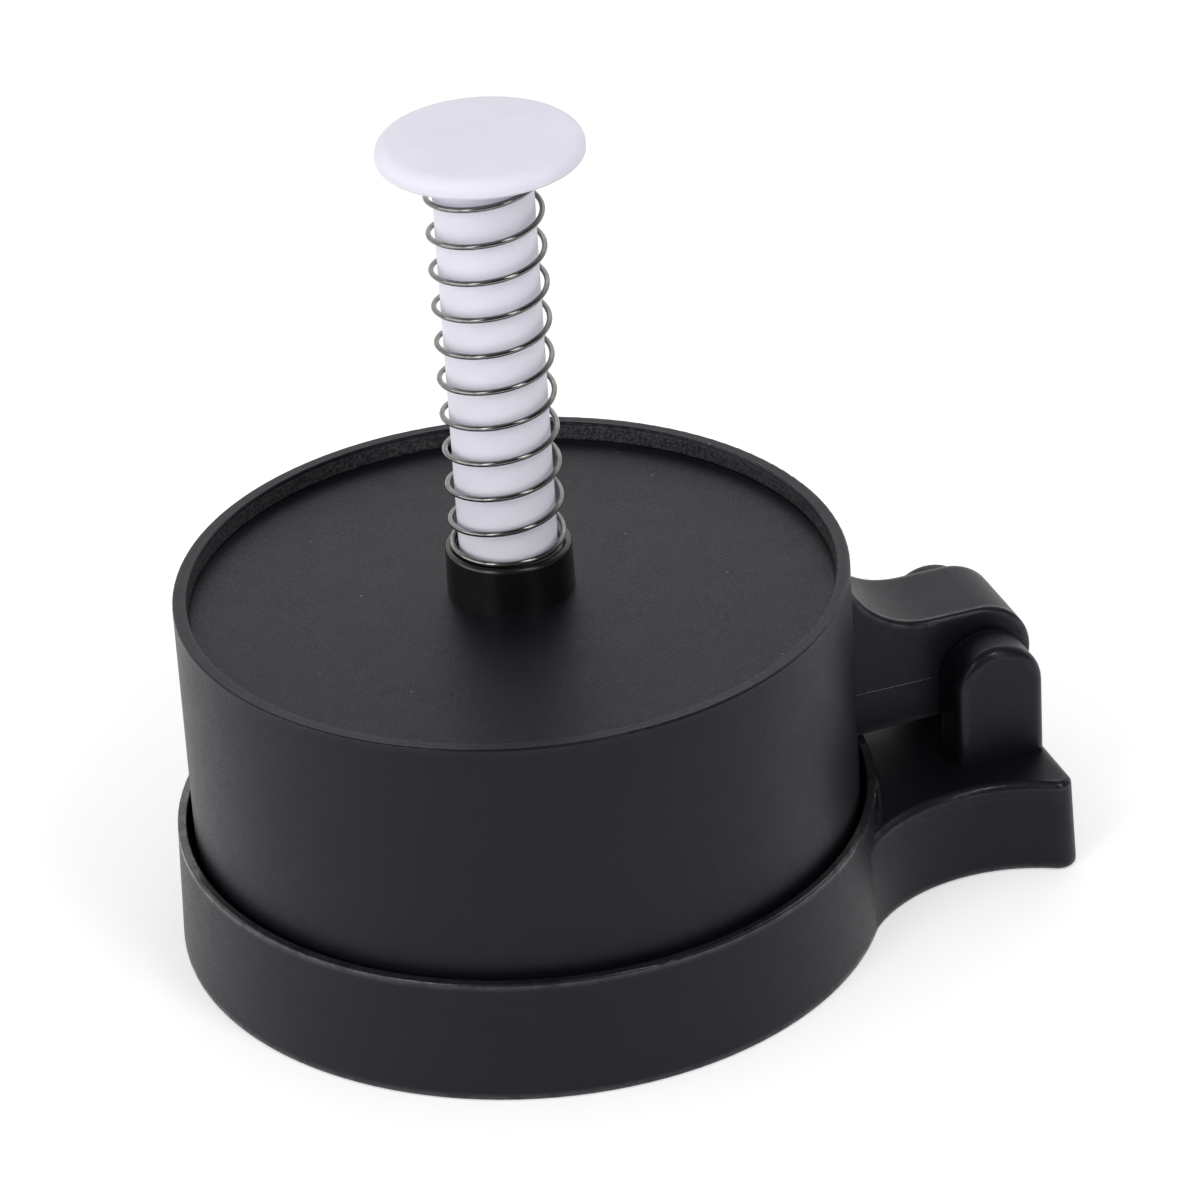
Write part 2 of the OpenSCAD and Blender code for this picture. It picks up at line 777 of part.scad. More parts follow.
base_tray();
hinge_pin();
press_drum();
guide_bush();
return_spring();
plunger_rod();
palm_knob();
press_disc();
disc_washer();
disc_screw();
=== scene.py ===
"""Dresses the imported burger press: its return spring, its finishes and the studio round it."""

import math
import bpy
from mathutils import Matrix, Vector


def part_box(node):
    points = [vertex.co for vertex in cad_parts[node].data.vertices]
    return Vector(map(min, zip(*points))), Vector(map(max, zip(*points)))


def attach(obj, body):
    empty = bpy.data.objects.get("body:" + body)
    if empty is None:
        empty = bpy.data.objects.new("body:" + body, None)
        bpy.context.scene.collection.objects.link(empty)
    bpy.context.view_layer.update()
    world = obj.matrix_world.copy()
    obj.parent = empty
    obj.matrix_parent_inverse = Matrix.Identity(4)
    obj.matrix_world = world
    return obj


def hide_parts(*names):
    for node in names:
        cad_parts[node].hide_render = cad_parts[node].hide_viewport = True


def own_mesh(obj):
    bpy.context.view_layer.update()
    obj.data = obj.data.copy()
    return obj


bl_info = {
    "name": "Burger Press",
    "version": (1, 0, 0),
    "blender": (4, 5, 0),
    "location": "View3D > Sidebar > Burger Press",
    "description": "Spring, finishes and studio of a hinged burger press",
    "category": "Object",
}

import bmesh
import bpy
from bpy.props import FloatProperty, FloatVectorProperty, IntProperty, PointerProperty
from mathutils import Matrix, Vector

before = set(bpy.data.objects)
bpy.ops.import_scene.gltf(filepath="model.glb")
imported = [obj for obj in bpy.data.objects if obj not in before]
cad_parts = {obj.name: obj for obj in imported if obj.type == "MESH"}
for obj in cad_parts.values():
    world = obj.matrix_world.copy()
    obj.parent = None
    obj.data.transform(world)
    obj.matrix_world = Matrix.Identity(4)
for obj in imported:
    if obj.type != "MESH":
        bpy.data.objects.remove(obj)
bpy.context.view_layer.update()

BUSH_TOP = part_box("guide_bush")[1].z
SPRING_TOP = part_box("return_spring")[1].z
RIM_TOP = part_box("press_drum")[1].z
PIN_MIDDLE = sum(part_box("hinge_pin"), Vector()) / 2

# Distances from the drum's axis, and heights, over which the coarse band inside the rim fades in or out
BAND_INSIDE = (0.0571, 0.0573)
BAND_OUTSIDE = (0.0582, 0.0579)
BAND_FOOT = (0.0646, 0.065)
BAND_HEAD = (RIM_TOP - 0.0004, RIM_TOP - 0.0008)
# Distances from the drum's axis over which its wall gives way to its hinge arm
ARM_START = (0.0602, 0.0608)
# Values of a noise texture that count as its lowest and highest, for slow patches and for fine relief
PATCH_RANGE = (0.3, 0.7)
RELIEF_RANGE = (0.25, 0.75)
# Colour of the dust on the black mouldings
DUST_COLOUR = (0.3, 0.29, 0.29)
# Two paints that the floor's colour wanders between
FLOOR_PAINTS = ((0.81, 0.81, 0.815), (0.83, 0.83, 0.83))
# How far the floor lies under the tray, and the distances over which it runs into the white studio
FLOOR_DROP = 0.0001
FLOOR_FADE = (0.35, 0.8)
# Turn of the studio's dark side from the camera
SIDE_TURN = math.radians(40)
# How far towards that side, and how far up, a mirrored ray goes from bright to dark
SIDE_FADE = (0.05, 0.6)
CEILING_FADE = (0.55, 0.88)
# Point that the lamps face, and their distance from it
LAMP_AIM = Vector((0, 0, 0.08))
LAMP_DISTANCE = 1.1


class SpringSizes(bpy.types.PropertyGroup):
    """Sizes of the return spring"""

    coil_radius: FloatProperty(
        name="Coil Radius",
        description="Radius from the rod's axis to the middle of the wire",
        default=0.0099,
        min=0.005,
        max=0.02,
        precision=5,
        unit="LENGTH",
    )
    wire_radius: FloatProperty(
        name="Wire Radius",
        description="Half the thickness of the wire",
        default=0.0005,
        min=0.0002,
        max=0.002,
        precision=5,
        unit="LENGTH",
    )
    pitch: FloatProperty(
        name="Pitch",
        description="Rise of one open turn",
        default=0.00695,
        min=0.002,
        max=0.02,
        precision=5,
        unit="LENGTH",
    )
    start_angle: FloatProperty(
        name="Start Angle",
        description="Where the wire's lower end lies, from the hinge side",
        default=math.radians(19),
        subtype="ANGLE",
    )
    lower_flat_turns: FloatProperty(
        name="Lower Flat Turns",
        description="Turns of the lower end that lie flat on the bush",
        default=0.6,
        min=0.1,
        max=1,
    )
    upper_flat_turns: FloatProperty(
        name="Upper Flat Turns",
        description="Turns of the upper end that lie flat under the knob",
        default=0.15,
        min=0.1,
        max=1,
    )
    easing_turns: FloatProperty(
        name="Easing Turns",
        description="Turns over which a flat end rises to the full pitch",
        default=0.3,
        min=0.1,
        max=0.5,
    )
    seat_gap: FloatProperty(
        name="Seat Gap",
        description="Clearance between an end turn and its seat",
        default=0.00004,
        min=0,
        max=0.001,
        precision=5,
        unit="LENGTH",
    )
    steps_per_turn: IntProperty(
        name="Steps per Turn",
        description="Wire sections in one turn",
        default=48,
        min=16,
        max=96,
    )
    wire_sides: IntProperty(
        name="Wire Sides",
        description="Sides of the wire's section",
        default=16,
        min=8,
        max=32,
    )


class PartingLineSizes(bpy.types.PropertyGroup):
    """Sizes of the fine mould lines on both sides of the hinge arm"""

    start: FloatProperty(
        name="Start",
        description="Distance of the line's inner end from the drum's axis",
        default=0.0592,
        min=0.05,
        max=0.07,
        precision=4,
        unit="LENGTH",
    )
    end: FloatProperty(
        name="End",
        description="Distance of the line's outer end from the drum's axis",
        default=0.0758,
        min=0.065,
        max=0.09,
        precision=4,
        unit="LENGTH",
    )
    side: FloatProperty(
        name="Side",
        description="Distance of the arm's side from its middle",
        default=0.009,
        min=0.005,
        max=0.015,
        precision=4,
        unit="LENGTH",
    )
    level: FloatProperty(
        name="Level",
        description="Height of the line above the table",
        default=0.0329,
        min=0.025,
        max=0.045,
        precision=4,
        unit="LENGTH",
    )
    width: FloatProperty(
        name="Width",
        description="Width of the line",
        default=0.00024,
        min=0.0001,
        max=0.0006,
        precision=5,
        unit="LENGTH",
    )
    proud: FloatProperty(
        name="Proud",
        description="How far the line stands out of the arm",
        default=0.00011,
        min=0.00005,
        max=0.0003,
        precision=5,
        unit="LENGTH",
    )


class FinishColours(bpy.types.PropertyGroup):
    """Colours and textures of the finishes"""

    moulding: FloatVectorProperty(
        name="Black Moulding",
        description="Colour of the tray and the drum",
        default=(0.0044, 0.0040, 0.0066),
        subtype="COLOR",
        min=0,
        max=1,
    )
    # Lighter black of the edges and of the rim's coarse band: partly rubbing and coarser texture, partly a
    # painted highlight, sheen and sparkle
    rubbed_and_highlight: FloatVectorProperty(
        name="Rubbed Black",
        description="Colour of the mouldings' rubbed edges and of the coarse band inside the rim",
        default=(0.05, 0.0485, 0.053),
        subtype="COLOR",
        min=0,
        max=1,
    )
    bush: FloatVectorProperty(
        name="Polished Black",
        description="Colour of the guide bush",
        default=(0.004, 0.004, 0.0045),
        subtype="COLOR",
        min=0,
        max=1,
    )
    plunger: FloatVectorProperty(
        name="White Moulding",
        description="Colour of the rod, the knob and the press disc",
        default=(0.80, 0.785, 0.885),
        subtype="COLOR",
        min=0,
        max=1,
    )
    wire: FloatVectorProperty(
        name="Spring Wire",
        description="Colour of the return spring",
        default=(0.2, 0.193, 0.19),
        subtype="COLOR",
        min=0,
        max=1,
    )
    steel: FloatVectorProperty(
        name="Plain Steel",
        description="Colour of the hinge pin, the washer and the screw",
        default=(0.55, 0.55, 0.57),
        subtype="COLOR",
        min=0,
        max=1,
    )
    grain_size: FloatProperty(
        name="Grain Size",
        description="Size of one grain of the mould's texture",
        default=0.0004,
        min=0.0001,
        max=0.002,
        precision=5,
        unit="LENGTH",
    )


class StudioSettings(bpy.types.PropertyGroup):
    """Camera, floor and light"""

    camera_place: FloatVectorProperty(
        name="Camera Place",
        description="Where the camera stands",
        default=(-0.2481, -0.8136, 0.5439),
        subtype="XYZ",
        unit="LENGTH",
    )
    azimuth: FloatProperty(
        name="Azimuth",
        description="Turn of the camera round the press",
        default=math.radians(-18),
        subtype="ANGLE",
    )
    elevation: FloatProperty(
        name="Elevation",
        description="How far the camera looks down",
        default=math.radians(29.54),
        subtype="ANGLE",
    )
    roll: FloatProperty(
        name="Roll",
        description="Turn of the camera about its own view",
        default=math.radians(-3.629),
        subtype="ANGLE",
    )
    lens: FloatProperty(
        name="Lens",
        description="Focal length of the camera",
        default=165.33,
        min=20,
        max=400,
        unit="CAMERA",
    )
    floor_size: FloatProperty(
        name="Floor Size",
        description="Side of the floor",
        default=2.4,
        min=1,
        max=20,
        unit="LENGTH",
    )
    ambient: FloatProperty(
        name="Ambient",
        description="Even light from all sides of the studio, which the lamps add to",
        default=0.58,
        min=0,
        max=2,
    )
    ceiling: FloatProperty(
        name="Ceiling",
        description="How bright the ceiling looks in a gloss, beside the walls",
        default=0.15,
        min=0,
        max=1,
        subtype="FACTOR",
    )
    side: FloatProperty(
        name="Right Side",
        description="How bright the studio's right side looks in a gloss, beside its left",
        default=0.1,
        min=0,
        max=1,
        subtype="FACTOR",
    )
    left: FloatProperty(
        name="Left Softbox",
        description="Light from the wide low softbox on the left",
        default=0.22,
        min=0,
        max=2,
    )
    left_strip: FloatProperty(
        name="Left Strip",
        description="Light from the narrow upright strip on the left",
        default=0.22,
        min=0,
        max=2,
    )
    right_strip: FloatProperty(
        name="Right Strip",
        description="Light from the narrow upright strip on the right",
        default=0.13,
        min=0,
        max=2,
    )
    upper: FloatProperty(
        name="Upper Lamp",
        description="Light from the small high lamp that draws the edges",
        default=0.13,
        min=0,
        max=2,
    )
    back: FloatProperty(
        name="Back Panel",
        description="Light from the wide panel behind the press",
        default=0.11,
        min=0,
        max=2,
    )
    floor_glow: FloatProperty(
        name="Floor Glow",
        description="Lift that makes the open floor read as white",
        default=0.4,
        min=0,
        max=1,
        subtype="FACTOR",
    )


class PressSettings(bpy.types.PropertyGroup):
    """All settings of the burger press"""

    spring: PointerProperty(type=SpringSizes)
    parting_line: PointerProperty(type=PartingLineSizes)
    finish: PointerProperty(type=FinishColours)
    studio: PointerProperty(type=StudioSettings)


def add_node(tree, kind, values=None, **settings):
    """Adds a node, sets its options, and sets or links its inputs"""
    node = tree.nodes.new(kind)
    for option, value in settings.items():
        setattr(node, option, value)
    for key, value in (values or {}).items():
        if isinstance(value, bpy.types.NodeSocket):
            tree.links.new(value, node.inputs[key])
        else:
            node.inputs[key].default_value = value
    return node


def maths(tree, operation, first, second=0.0, clamp=False):
    """Adds a Math node and returns its result"""
    values = {0: first, 1: second}
    return add_node(tree, "ShaderNodeMath", values, operation=operation, use_clamp=clamp).outputs[0]


def times(tree, first, second):
    """Multiplies two values"""
    return maths(tree, "MULTIPLY", first, second)


def span(tree, value, low, high, to_low=0.0, to_high=1.0):
    """Maps a value's range to another with soft ends"""
    values = {"Value": value, 1: low, 2: high, 3: to_low, 4: to_high}
    node = add_node(tree, "ShaderNodeMapRange", values, interpolation_type="SMOOTHSTEP")
    return node.outputs["Result"]


def vary(tree, mask, start, end):
    """Goes from one value to another as a mask goes from 0 to 1"""
    return span(tree, mask, 0.0, 1.0, start, end)


def axis_distance(tree, place):
    """Distance of a place from the local Z axis"""
    flat = add_node(tree, "ShaderNodeCombineXYZ", {0: place["X"], 1: place["Y"]}).outputs[0]
    return add_node(tree, "ShaderNodeVectorMath", {0: flat}, operation="LENGTH").outputs["Value"]


def noise(tree, vector, scale, detail=3.0, roughness=0.55):
    """Adds a noise texture and returns its value"""
    values = {"Vector": vector, "Scale": scale, "Detail": detail, "Roughness": roughness}
    return add_node(tree, "ShaderNodeTexNoise", values).outputs[0]


def blend_colours(tree, share, first, second):
    """Mixes two colours and returns the result"""
    node = add_node(tree, "ShaderNodeMix", {"Factor": share}, data_type="RGBA")
    for socket, colour in ((node.inputs[6], first), (node.inputs[7], second)):
        if isinstance(colour, bpy.types.NodeSocket):
            tree.links.new(colour, socket)
        else:
            socket.default_value = (*colour, 1)
    return node.outputs[2]


def new_group(name, inputs, outputs):
    """Makes an empty shader node group with named sockets"""
    tree = bpy.data.node_groups.new(name, "ShaderNodeTree")
    for label, kind in inputs:
        tree.interface.new_socket(label, in_out="INPUT", socket_type=kind)
    for label in outputs:
        tree.interface.new_socket(label, in_out="OUTPUT", socket_type="NodeSocketFloat")
    entry = tree.nodes.new("NodeGroupInput").outputs
    leave = tree.nodes.new("NodeGroupOutput").inputs
    return tree, entry, leave


def moulded_grain_group():
    """Fine texture of an eroded mould, with slow changes of tone and gloss"""
    tree, entry, leave = new_group(
        "moulded_grain",
        [
            ("Vector", "NodeSocketVector"),
            ("Grain Scale", "NodeSocketFloat"),
            ("Mottle Scale", "NodeSocketFloat"),
        ],
        ["Height", "Tone", "Gloss"],
    )
    vector = entry["Vector"]
    tree.links.new(noise(tree, vector, entry["Grain Scale"], detail=2.0, roughness=0.6), leave["Height"])
    slow = noise(tree, vector, entry["Mottle Scale"], detail=3.0, roughness=0.6)
    tree.links.new(span(tree, slow, *PATCH_RANGE), leave["Tone"])
    patches_per_mottle = 4.3
    patchy = noise(tree, vector, times(tree, entry["Mottle Scale"], patches_per_mottle), detail=2.0)
    tree.links.new(span(tree, patchy, *PATCH_RANGE), leave["Gloss"])
    return tree


def edge_rubbing_and_highlight_group():
    """Mask of outer edges, broken up by noise, for handling's rubbing and for the highlight that the black
    finishes paint on them
    """
    tree, entry, leave = new_group(
        "edge_rubbing_and_highlight",
        [
            ("Vector", "NodeSocketVector"),
            ("Reach", "NodeSocketFloat"),
            ("Breakup Scale", "NodeSocketFloat"),
        ],
        ["Mask"],
    )
    inside = add_node(
        tree,
        "ShaderNodeAmbientOcclusion",
        {"Distance": entry["Reach"]},
        samples=2,
        inside=True,
        only_local=True,
    )
    on_flat, on_edge = 0.97, 0.68
    edge = span(tree, inside.outputs["AO"], on_flat, on_edge)
    patches = noise(tree, entry["Vector"], entry["Breakup Scale"], detail=4.0, roughness=0.65)
    breakup_range = (0.3, 0.6)
    breakup = span(tree, patches, *breakup_range, to_low=0.35, to_high=1.0)
    tree.links.new(times(tree, edge, breakup), leave["Mask"])
    return tree


def dust_specks_group():
    """Mask of a few tiny specks of dust on faces that point up"""
    tree, entry, leave = new_group(
        "dust_specks",
        [
            ("Vector", "NodeSocketVector"),
            ("Normal", "NodeSocketVector"),
            ("Spacing Scale", "NodeSocketFloat"),
        ],
        ["Mask"],
    )
    spacing = {"Vector": entry["Vector"], "Scale": entry["Spacing Scale"]}
    cells = add_node(tree, "ShaderNodeTexVoronoi", spacing, voronoi_dimensions="2D")
    speck_edge = (0.024, 0.01)
    speck = span(tree, cells.outputs["Distance"], *speck_edge)
    chosen_cells = (0.65, 0.95)
    pick = add_node(tree, "ShaderNodeSeparateColor", {0: cells.outputs["Color"]})
    some = span(tree, pick.outputs[0], *chosen_cells)
    upward = (0.6, 0.95)
    up = add_node(tree, "ShaderNodeSeparateXYZ", {0: entry["Normal"]}).outputs["Z"]
    lying = times(tree, times(tree, speck, some), span(tree, up, *upward))
    tree.links.new(lying, leave["Mask"])
    return tree


def drawn_metal_group():
    """Fine lines left by drawing or turning, along a helix about the local Z axis"""
    tree, entry, leave = new_group(
        "drawn_metal",
        [
            ("Vector", "NodeSocketVector"),
            ("Pitch", "NodeSocketFloat"),
            ("Line Scale", "NodeSocketFloat"),
        ],
        ["Height", "Tone"],
    )
    place = add_node(tree, "ShaderNodeSeparateXYZ", {0: entry["Vector"]}).outputs
    turn = maths(tree, "ARCTAN2", place["Y"], place["X"])
    rise = times(tree, turn, maths(tree, "DIVIDE", entry["Pitch"], 2 * math.pi))
    level = maths(tree, "SUBTRACT", place["Z"], rise)
    change_along_line = 0.0004
    unrolled = {0: axis_distance(tree, place), 1: level, 2: times(tree, turn, change_along_line)}
    lines = add_node(tree, "ShaderNodeCombineXYZ", unrolled).outputs[0]
    tree.links.new(noise(tree, lines, entry["Line Scale"], detail=3.0, roughness=0.65), leave["Height"])
    patches = noise(tree, entry["Vector"], scale=420.0, detail=3.0, roughness=0.6)
    tree.links.new(span(tree, patches, *PATCH_RANGE), leave["Tone"])
    return tree


GROUPS = {
    "moulded_grain": moulded_grain_group,
    "edge_rubbing_and_highlight": edge_rubbing_and_highlight_group,
    "dust_specks": dust_specks_group,
    "drawn_metal": drawn_metal_group,
}


def place_group(tree, name, values):
    """Places a shared node group in a material and returns its outputs"""
    group = bpy.data.node_groups.get(name) or GROUPS[name]()
    return add_node(tree, "ShaderNodeGroup", values, node_tree=group).outputs


def new_finish(name):
    """Makes a material with a Principled shader, and its Object coordinates"""
    material = bpy.data.materials.new(name)
    material.use_nodes = True
    tree = material.node_tree
    tree.nodes.clear()
    shader = tree.nodes.new("ShaderNodeBsdfPrincipled")
    output = tree.nodes.new("ShaderNodeOutputMaterial")
    tree.links.new(shader.outputs[0], output.inputs[0])
    coordinates = tree.nodes.new("ShaderNodeTexCoord").outputs
    return material, tree, shader, coordinates


def raise_surface(tree, shader, height, strength, distance):
    """Gives the shader a bumped normal"""
    values = {"Height": height, "Strength": strength, "Distance": distance}
    tree.links.new(add_node(tree, "ShaderNodeBump", values).outputs[0], shader.inputs["Normal"])


def tint(colour, factor):
    """A lighter or darker version of a colour"""
    return tuple(min(channel * factor, 1.0) for channel in colour)


def mottle(tree, mask, colour, darkest, lightest):
    """Varies a colour between a darker and a lighter version as a mask goes from 0 to 1"""
    return blend_colours(tree, mask, tint(colour, darkest), tint(colour, lightest))


def drum_masks(tree, vector):
    """Masks of the coarse band inside the rim, whose colour is partly painted sheen and sparkle, and of the
    arm, whose edges get more rubbing, gloss and painted highlight than the wall's
    """
    place = add_node(tree, "ShaderNodeSeparateXYZ", {0: vector}).outputs
    radius = axis_distance(tree, place)
    ring = times(tree, span(tree, radius, *BAND_INSIDE), span(tree, radius, *BAND_OUTSIDE))
    above_deck = times(tree, ring, span(tree, place["Z"], *BAND_FOOT))
    band = times(tree, above_deck, span(tree, place["Z"], *BAND_HEAD))
    return band, span(tree, radius, *ARM_START, to_low=0.1, to_high=1.0)


def black_moulding_finish(name, colours, drum=False):
    """Satin black moulding with grain, edges painted lighter for rubbing and as a highlight, and a little
    dust
    """
    material, tree, shader, coordinates = new_finish(name)
    vector = coordinates["Object"]
    texture = {"Vector": vector, "Grain Scale": 1 / colours.grain_size, "Mottle Scale": 55.0}
    grain = place_group(tree, "moulded_grain", texture)
    rubbing = {"Vector": vector, "Reach": 0.0016, "Breakup Scale": 260.0}
    rubbing_and_highlight = place_group(tree, "edge_rubbing_and_highlight", rubbing)["Mask"]
    specks = {"Vector": vector, "Normal": coordinates["Normal"], "Spacing Scale": 80.0}
    dust = place_group(tree, "dust_specks", specks)["Mask"]
    if drum:
        band, arm = drum_masks(tree, vector)
        rubbing_and_highlight = times(tree, rubbing_and_highlight, arm)
    rubbing_and_highlight_cover = 0.4
    wear_gloss = 0.26
    dust_cover = 0.6
    dust_roughness = 0.3
    grain_roughness = 0.07
    colour = mottle(tree, grain["Tone"], colours.moulding, darkest=0.88, lightest=1.12)
    # Outer edges painted lighter: partly rubbing, partly a painted highlight on them
    colour = blend_colours(tree, times(tree, rubbing_and_highlight, rubbing_and_highlight_cover), colour, colours.rubbed_and_highlight)
    colour = blend_colours(tree, times(tree, dust, dust_cover), colour, DUST_COLOUR)
    relief = span(tree, grain["Height"], *RELIEF_RANGE, -grain_roughness, grain_roughness)
    roughness = maths(tree, "ADD", vary(tree, grain["Gloss"], start=0.44, end=0.42), relief)
    roughness = maths(tree, "SUBTRACT", roughness, times(tree, rubbing_and_highlight, wear_gloss))
    roughness = maths(tree, "ADD", roughness, times(tree, dust, dust_roughness), clamp=True)
    height = grain["Height"]
    if drum:
        # The coarse band inside the rim is painted lighter and speckled: partly its coarser texture, partly
        # a painted sheen and sparkle
        speckle_edge = (0.4, 0.62)
        band_gloss = 0.1
        band_relief = 7.0
        coarse = noise(tree, vector, scale=1700.0, detail=3.0, roughness=0.7)
        speckle = span(tree, coarse, *speckle_edge)
        speckled = mottle(tree, speckle, colours.rubbed_and_highlight, darkest=0.4, lightest=1.3)
        colour = blend_colours(tree, band, colour, speckled)
        glints = times(tree, times(tree, speckle, band), band_gloss)
        roughness = maths(tree, "SUBTRACT", roughness, glints)
        height = maths(tree, "ADD", height, times(tree, times(tree, coarse, band), band_relief))
    tree.links.new(colour, shader.inputs["Base Color"])
    tree.links.new(roughness, shader.inputs["Roughness"])
    tree.links.new(rubbing_and_highlight, shader.inputs["Coat Weight"])
    shader.inputs["Coat Roughness"].default_value = 0.13
    shader.inputs["Coat IOR"].default_value = 1.6
    shader.inputs["Specular IOR Level"].default_value = 0.26
    shader.inputs["Specular Tint"].default_value = (0.87, 0.84, 1.0, 1.0)
    raise_surface(tree, shader, height, strength=0.9, distance=0.00003)
    return material


def polished_black_finish(colours):
    """Polished black of the guide bush"""
    material, tree, shader, coordinates = new_finish("polished_black")
    vector = coordinates["Object"]
    texture = {"Vector": vector, "Grain Scale": 900.0, "Mottle Scale": 120.0}
    grain = place_group(tree, "moulded_grain", texture)
    rubbing = {"Vector": vector, "Reach": 0.0006, "Breakup Scale": 500.0}
    rubbing_and_highlight = place_group(tree, "edge_rubbing_and_highlight", rubbing)["Mask"]
    rubbing_and_highlight_cover = 0.4
    body = mottle(tree, grain["Tone"], colours.bush, darkest=0.8, lightest=1.25)
    # Top edge painted lighter: partly rubbing, partly a painted highlight
    colour = blend_colours(tree, times(tree, rubbing_and_highlight, rubbing_and_highlight_cover), body, tint(colours.bush, factor=3.0))
    tree.links.new(colour, shader.inputs["Base Color"])
    tree.links.new(vary(tree, grain["Gloss"], start=0.26, end=0.2), shader.inputs["Roughness"])
    raise_surface(tree, shader, grain["Height"], strength=0.1, distance=0.00002)
    return material


def white_moulding_finish(colours):
    """Satin white moulding of the rod, the knob and the press disc"""
    material, tree, shader, coordinates = new_finish("white_moulding")
    vector = coordinates["Object"]
    texture = {"Vector": vector, "Grain Scale": 2600.0, "Mottle Scale": 60.0}
    grain = place_group(tree, "moulded_grain", texture)
    rubbing = {"Vector": vector, "Reach": 0.0012, "Breakup Scale": 220.0}
    rubbing_and_highlight = place_group(tree, "edge_rubbing_and_highlight", rubbing)["Mask"]
    rubbing_and_highlight_cover = 0.25
    body = mottle(tree, grain["Tone"], colours.plunger, darkest=0.975, lightest=1.01)
    colour = blend_colours(tree, times(tree, rubbing_and_highlight, rubbing_and_highlight_cover), body, tint(colours.plunger, factor=0.9))
    tree.links.new(colour, shader.inputs["Base Color"])
    tree.links.new(vary(tree, grain["Gloss"], start=0.52, end=0.42), shader.inputs["Roughness"])
    shader.inputs["Specular IOR Level"].default_value = 0.35
    shader.inputs["Subsurface Weight"].default_value = 0.5
    shader.inputs["Subsurface Radius"].default_value = (1.0, 1.0, 1.0)
    shader.inputs["Subsurface Scale"].default_value = 0.003
    raise_surface(tree, shader, grain["Height"], strength=0.12, distance=0.00002)
    return material


def drawn_metal_finish(name, colour, pitch, line_scale, glossy, satin, mapping=None):
    """Bright metal with the fine lines of drawing or turning"""
    material, tree, shader, coordinates = new_finish(name)
    vector = coordinates["Object"]
    if mapping:
        place, turn = mapping
        values = {"Vector": vector, "Location": place, "Rotation": turn}
        vector = add_node(tree, "ShaderNodeMapping", values, vector_type="TEXTURE").outputs[0]
    metal = place_group(tree, "drawn_metal", {"Vector": vector, "Pitch": pitch, "Line Scale": line_scale})
    patchy = mottle(tree, metal["Tone"], colour, darkest=0.82, lightest=1.15)
    tree.links.new(patchy, shader.inputs["Base Color"])
    tree.links.new(span(tree, metal["Height"], *RELIEF_RANGE, glossy, satin), shader.inputs["Roughness"])
    shader.inputs["Metallic"].default_value = 1.0
    raise_surface(tree, shader, metal["Height"], strength=0.06, distance=0.00001)
    return material


def floor_finish(level):
    """Pale floor that reads as white where no shadow falls on it, and runs into the white studio far off"""
    material = bpy.data.materials.new("pale_floor")
    material.use_nodes = True
    tree = material.node_tree
    tree.nodes.clear()
    seen = seen_rays(tree)
    place = tree.nodes.new("ShaderNodeTexCoord").outputs["Object"]
    paint = blend_colours(tree, noise(tree, place, scale=90.0), *FLOOR_PAINTS)
    matt = add_node(tree, "ShaderNodeBsdfDiffuse", {"Color": paint})
    glow = add_node(tree, "ShaderNodeEmission", {"Strength": times(tree, seen, level)})
    near = add_node(tree, "ShaderNodeAddShader", {0: matt.outputs[0], 1: glow.outputs[0]})
    away = add_node(tree, "ShaderNodeVectorMath", {0: place}, operation="LENGTH").outputs["Value"]
    share = times(tree, seen, span(tree, away, *FLOOR_FADE))
    white = add_node(tree, "ShaderNodeEmission")
    both = add_node(tree, "ShaderNodeMixShader", {0: share, 1: near.outputs[0], 2: white.outputs[0]})
    add_node(tree, "ShaderNodeOutputMaterial", {0: both.outputs[0]})
    return material


def seen_rays(tree):
    """1 for rays that show the background itself, 0 for rays that only carry its light"""
    path = tree.nodes.new("ShaderNodeLightPath").outputs
    mirrored = maths(tree, "MAXIMUM", path["Is Camera Ray"], path["Is Glossy Ray"])
    return maths(tree, "MAXIMUM", mirrored, path["Is Transmission Ray"])


def studio_world(studio):
    """White studio, whose ceiling and right side mirror darker"""
    world = bpy.data.worlds.new("studio")
    world.use_nodes = True
    tree = world.node_tree
    tree.nodes.clear()
    way = tree.nodes.new("ShaderNodeTexCoord").outputs["Generated"]
    height = add_node(tree, "ShaderNodeSeparateXYZ", {0: way}).outputs["Z"]
    ceiling = span(tree, height, *CEILING_FADE, 1.0, studio.ceiling)
    turn = studio.azimuth + SIDE_TURN
    aside = {0: way, 1: (math.sin(turn), -math.cos(turn), 0.0)}
    towards = add_node(tree, "ShaderNodeVectorMath", aside, operation="DOT_PRODUCT").outputs["Value"]
    mirrored = times(tree, ceiling, span(tree, towards, *SIDE_FADE, 1.0, studio.side))
    facing = tree.nodes.new("ShaderNodeLightPath").outputs["Is Camera Ray"]
    light = add_node(tree, "ShaderNodeBackground", {"Strength": studio.ambient})
    shown = add_node(tree, "ShaderNodeBackground", {"Strength": maths(tree, "MAXIMUM", mirrored, facing)})
    for background in (light, shown):
        background.inputs["Color"].default_value = (1, 1, 1, 1)
    choice = {0: seen_rays(tree), 1: light.outputs[0], 2: shown.outputs[0]}
    mixed = add_node(tree, "ShaderNodeMixShader", choice)
    add_node(tree, "ShaderNodeOutputWorld", {0: mixed.outputs[0]})
    return world


def dress(node, material):
    """Gives a CAD node its finish"""
    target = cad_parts.get(node)
    if target is None:
        raise RuntimeError(f"the packed model has no node named {node}")
    target.data.materials.clear()
    target.data.materials.append(material)


def link_object(name, data):
    """Puts new data in the scene as an object at the origin"""
    made = bpy.data.objects.new(name, data)
    bpy.context.scene.collection.objects.link(made)
    return made


def spun(mesh, profile, turns, rise, steps):
    """Spins a profile about the Z axis along a helix and returns its far end"""
    result = bmesh.ops.spin(
        mesh,
        geom=profile,
        cent=(0, 0, 0),
        axis=(0, 0, 1),
        dvec=(0, 0, rise / steps),
        angle=turns * 2 * math.pi,
        steps=steps,
        use_merge=False,
        use_duplicate=False,
    )
    return result["geom_last"]


